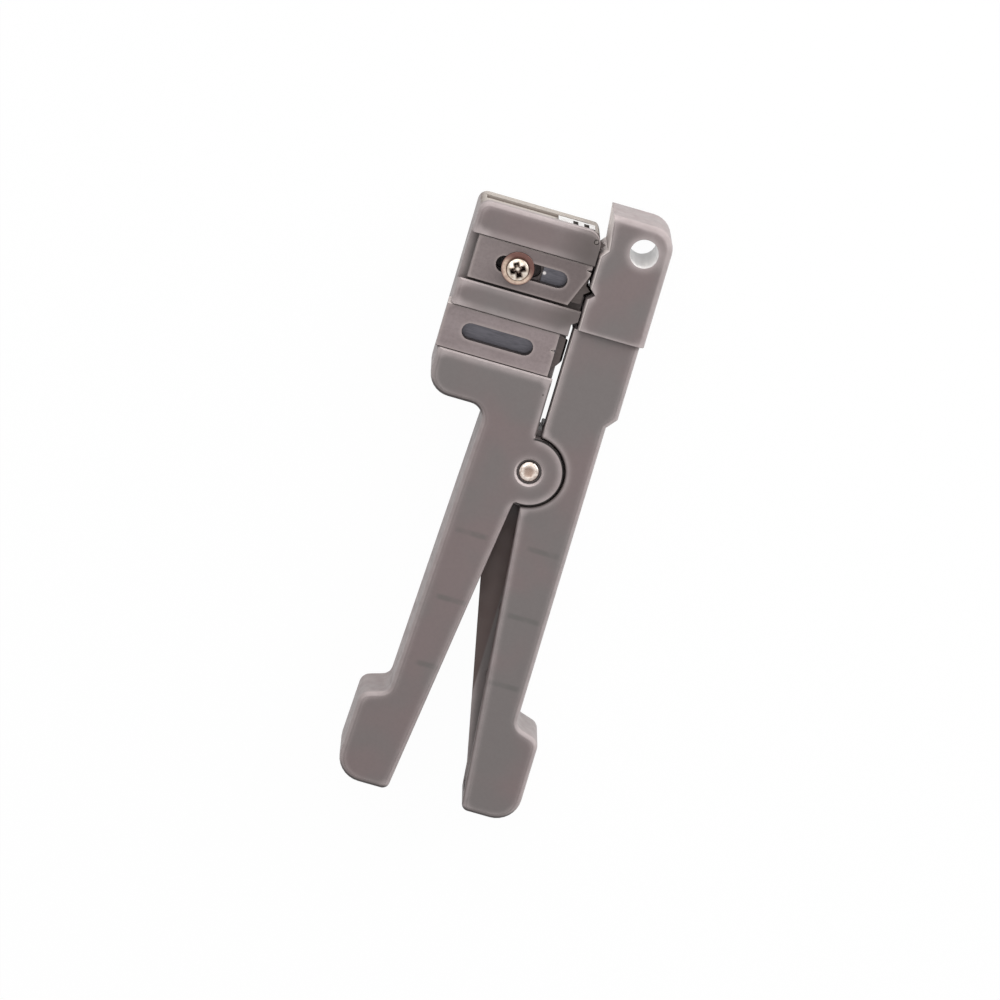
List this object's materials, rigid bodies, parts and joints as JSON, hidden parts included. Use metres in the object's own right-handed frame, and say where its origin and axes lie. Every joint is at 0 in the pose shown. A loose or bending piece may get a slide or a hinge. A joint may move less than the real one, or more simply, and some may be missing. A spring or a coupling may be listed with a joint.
{
  "type": "coaxial cable stripper",
  "caption": "Hand-held coaxial cable stripper: spring-closed moulded arms on a pivot, with sliding slotted blade cassettes facing a grooved cable jaw.",
  "frame": {"origin": "middle of the footprint, on the back face that the tool lies on", "axes": "+Y from the handles to the jaws, +Z out of the front that carries the cassettes, +X from the blade arm to the clamp arm"},
  "size_m": [0.045, 0.1324, 0.0206],
  "materials": {
    "moulded_plastic": "fine moulded texture, warm grey",
    "cassette_plastic": "fine moulded texture, warm grey",
    "blade_steel": "blued, ground edge",
    "nickel_plate": "satin nickel plate",
    "bright_steel": "bright",
    "spring_wire": "drawn wire",
    "brass_bush": "turned"
  },
  "bodies": {
    "blade_side": {"blade_arm": "moulded_plastic", "pivot_pin": "nickel_plate", "pivot_bush": "brass_bush", "pivot_washer": "bright_steel", "pivot_retainer": "bright_steel", "torsion_spring": "spring_wire", "clamp_washer": "nickel_plate", "clamp_nut": "bright_steel", "lock_nut": "bright_steel", "top_blade": "blade_steel", "top_blade_clip": "bright_steel", "blade_pin_inner": "bright_steel", "blade_pin_middle": "bright_steel", "blade_pin_corner": "bright_steel"},
    "clamp_side": {"clamp_arm": "moulded_plastic"},
    "upper_slide": {"upper_cassette": "cassette_plastic", "upper_blade": "blade_steel"},
    "lower_slide": {"lower_cassette": "cassette_plastic", "lower_blade": "blade_steel"},
    "clamp_turn": {"clamp_screw": "nickel_plate"},
    "lock_turn": {"lock_screw": "nickel_plate"}
  },
  "joints": [
    {"name": "squeeze", "type": "hinge", "parent": "blade_side", "child": "clamp_side", "pos_m": [0.0039, 0.00865, 0.00925], "axis": [0, 0, 1], "range_deg": [-12, 0], "stiffness_Nm_per_rad": 1.2, "springref_deg": 28.65, "deforming": ["torsion_spring"]},
    {"name": "upper_cassette_slide", "type": "slide", "parent": "blade_side", "child": "upper_slide", "axis": [1, 0, 0], "range_m": [-0.0038, 0.0002]},
    {"name": "lower_cassette_slide", "type": "slide", "parent": "blade_side", "child": "lower_slide", "axis": [1, 0, 0], "range_m": [-0.004, 0.0002]},
    {"name": "clamp_screw_turn", "type": "hinge", "parent": "blade_side", "child": "clamp_turn", "pos_m": [-0.0106, 0.04975, 0.015], "axis": [0, 0, 1], "range_deg": [0, 360]},
    {"name": "lock_screw_turn", "type": "hinge", "parent": "blade_side", "child": "lock_turn", "pos_m": [-0.0106, 0.034, 0.008], "axis": [0, 0, -1], "range_deg": [0, 360]}
  ]
}
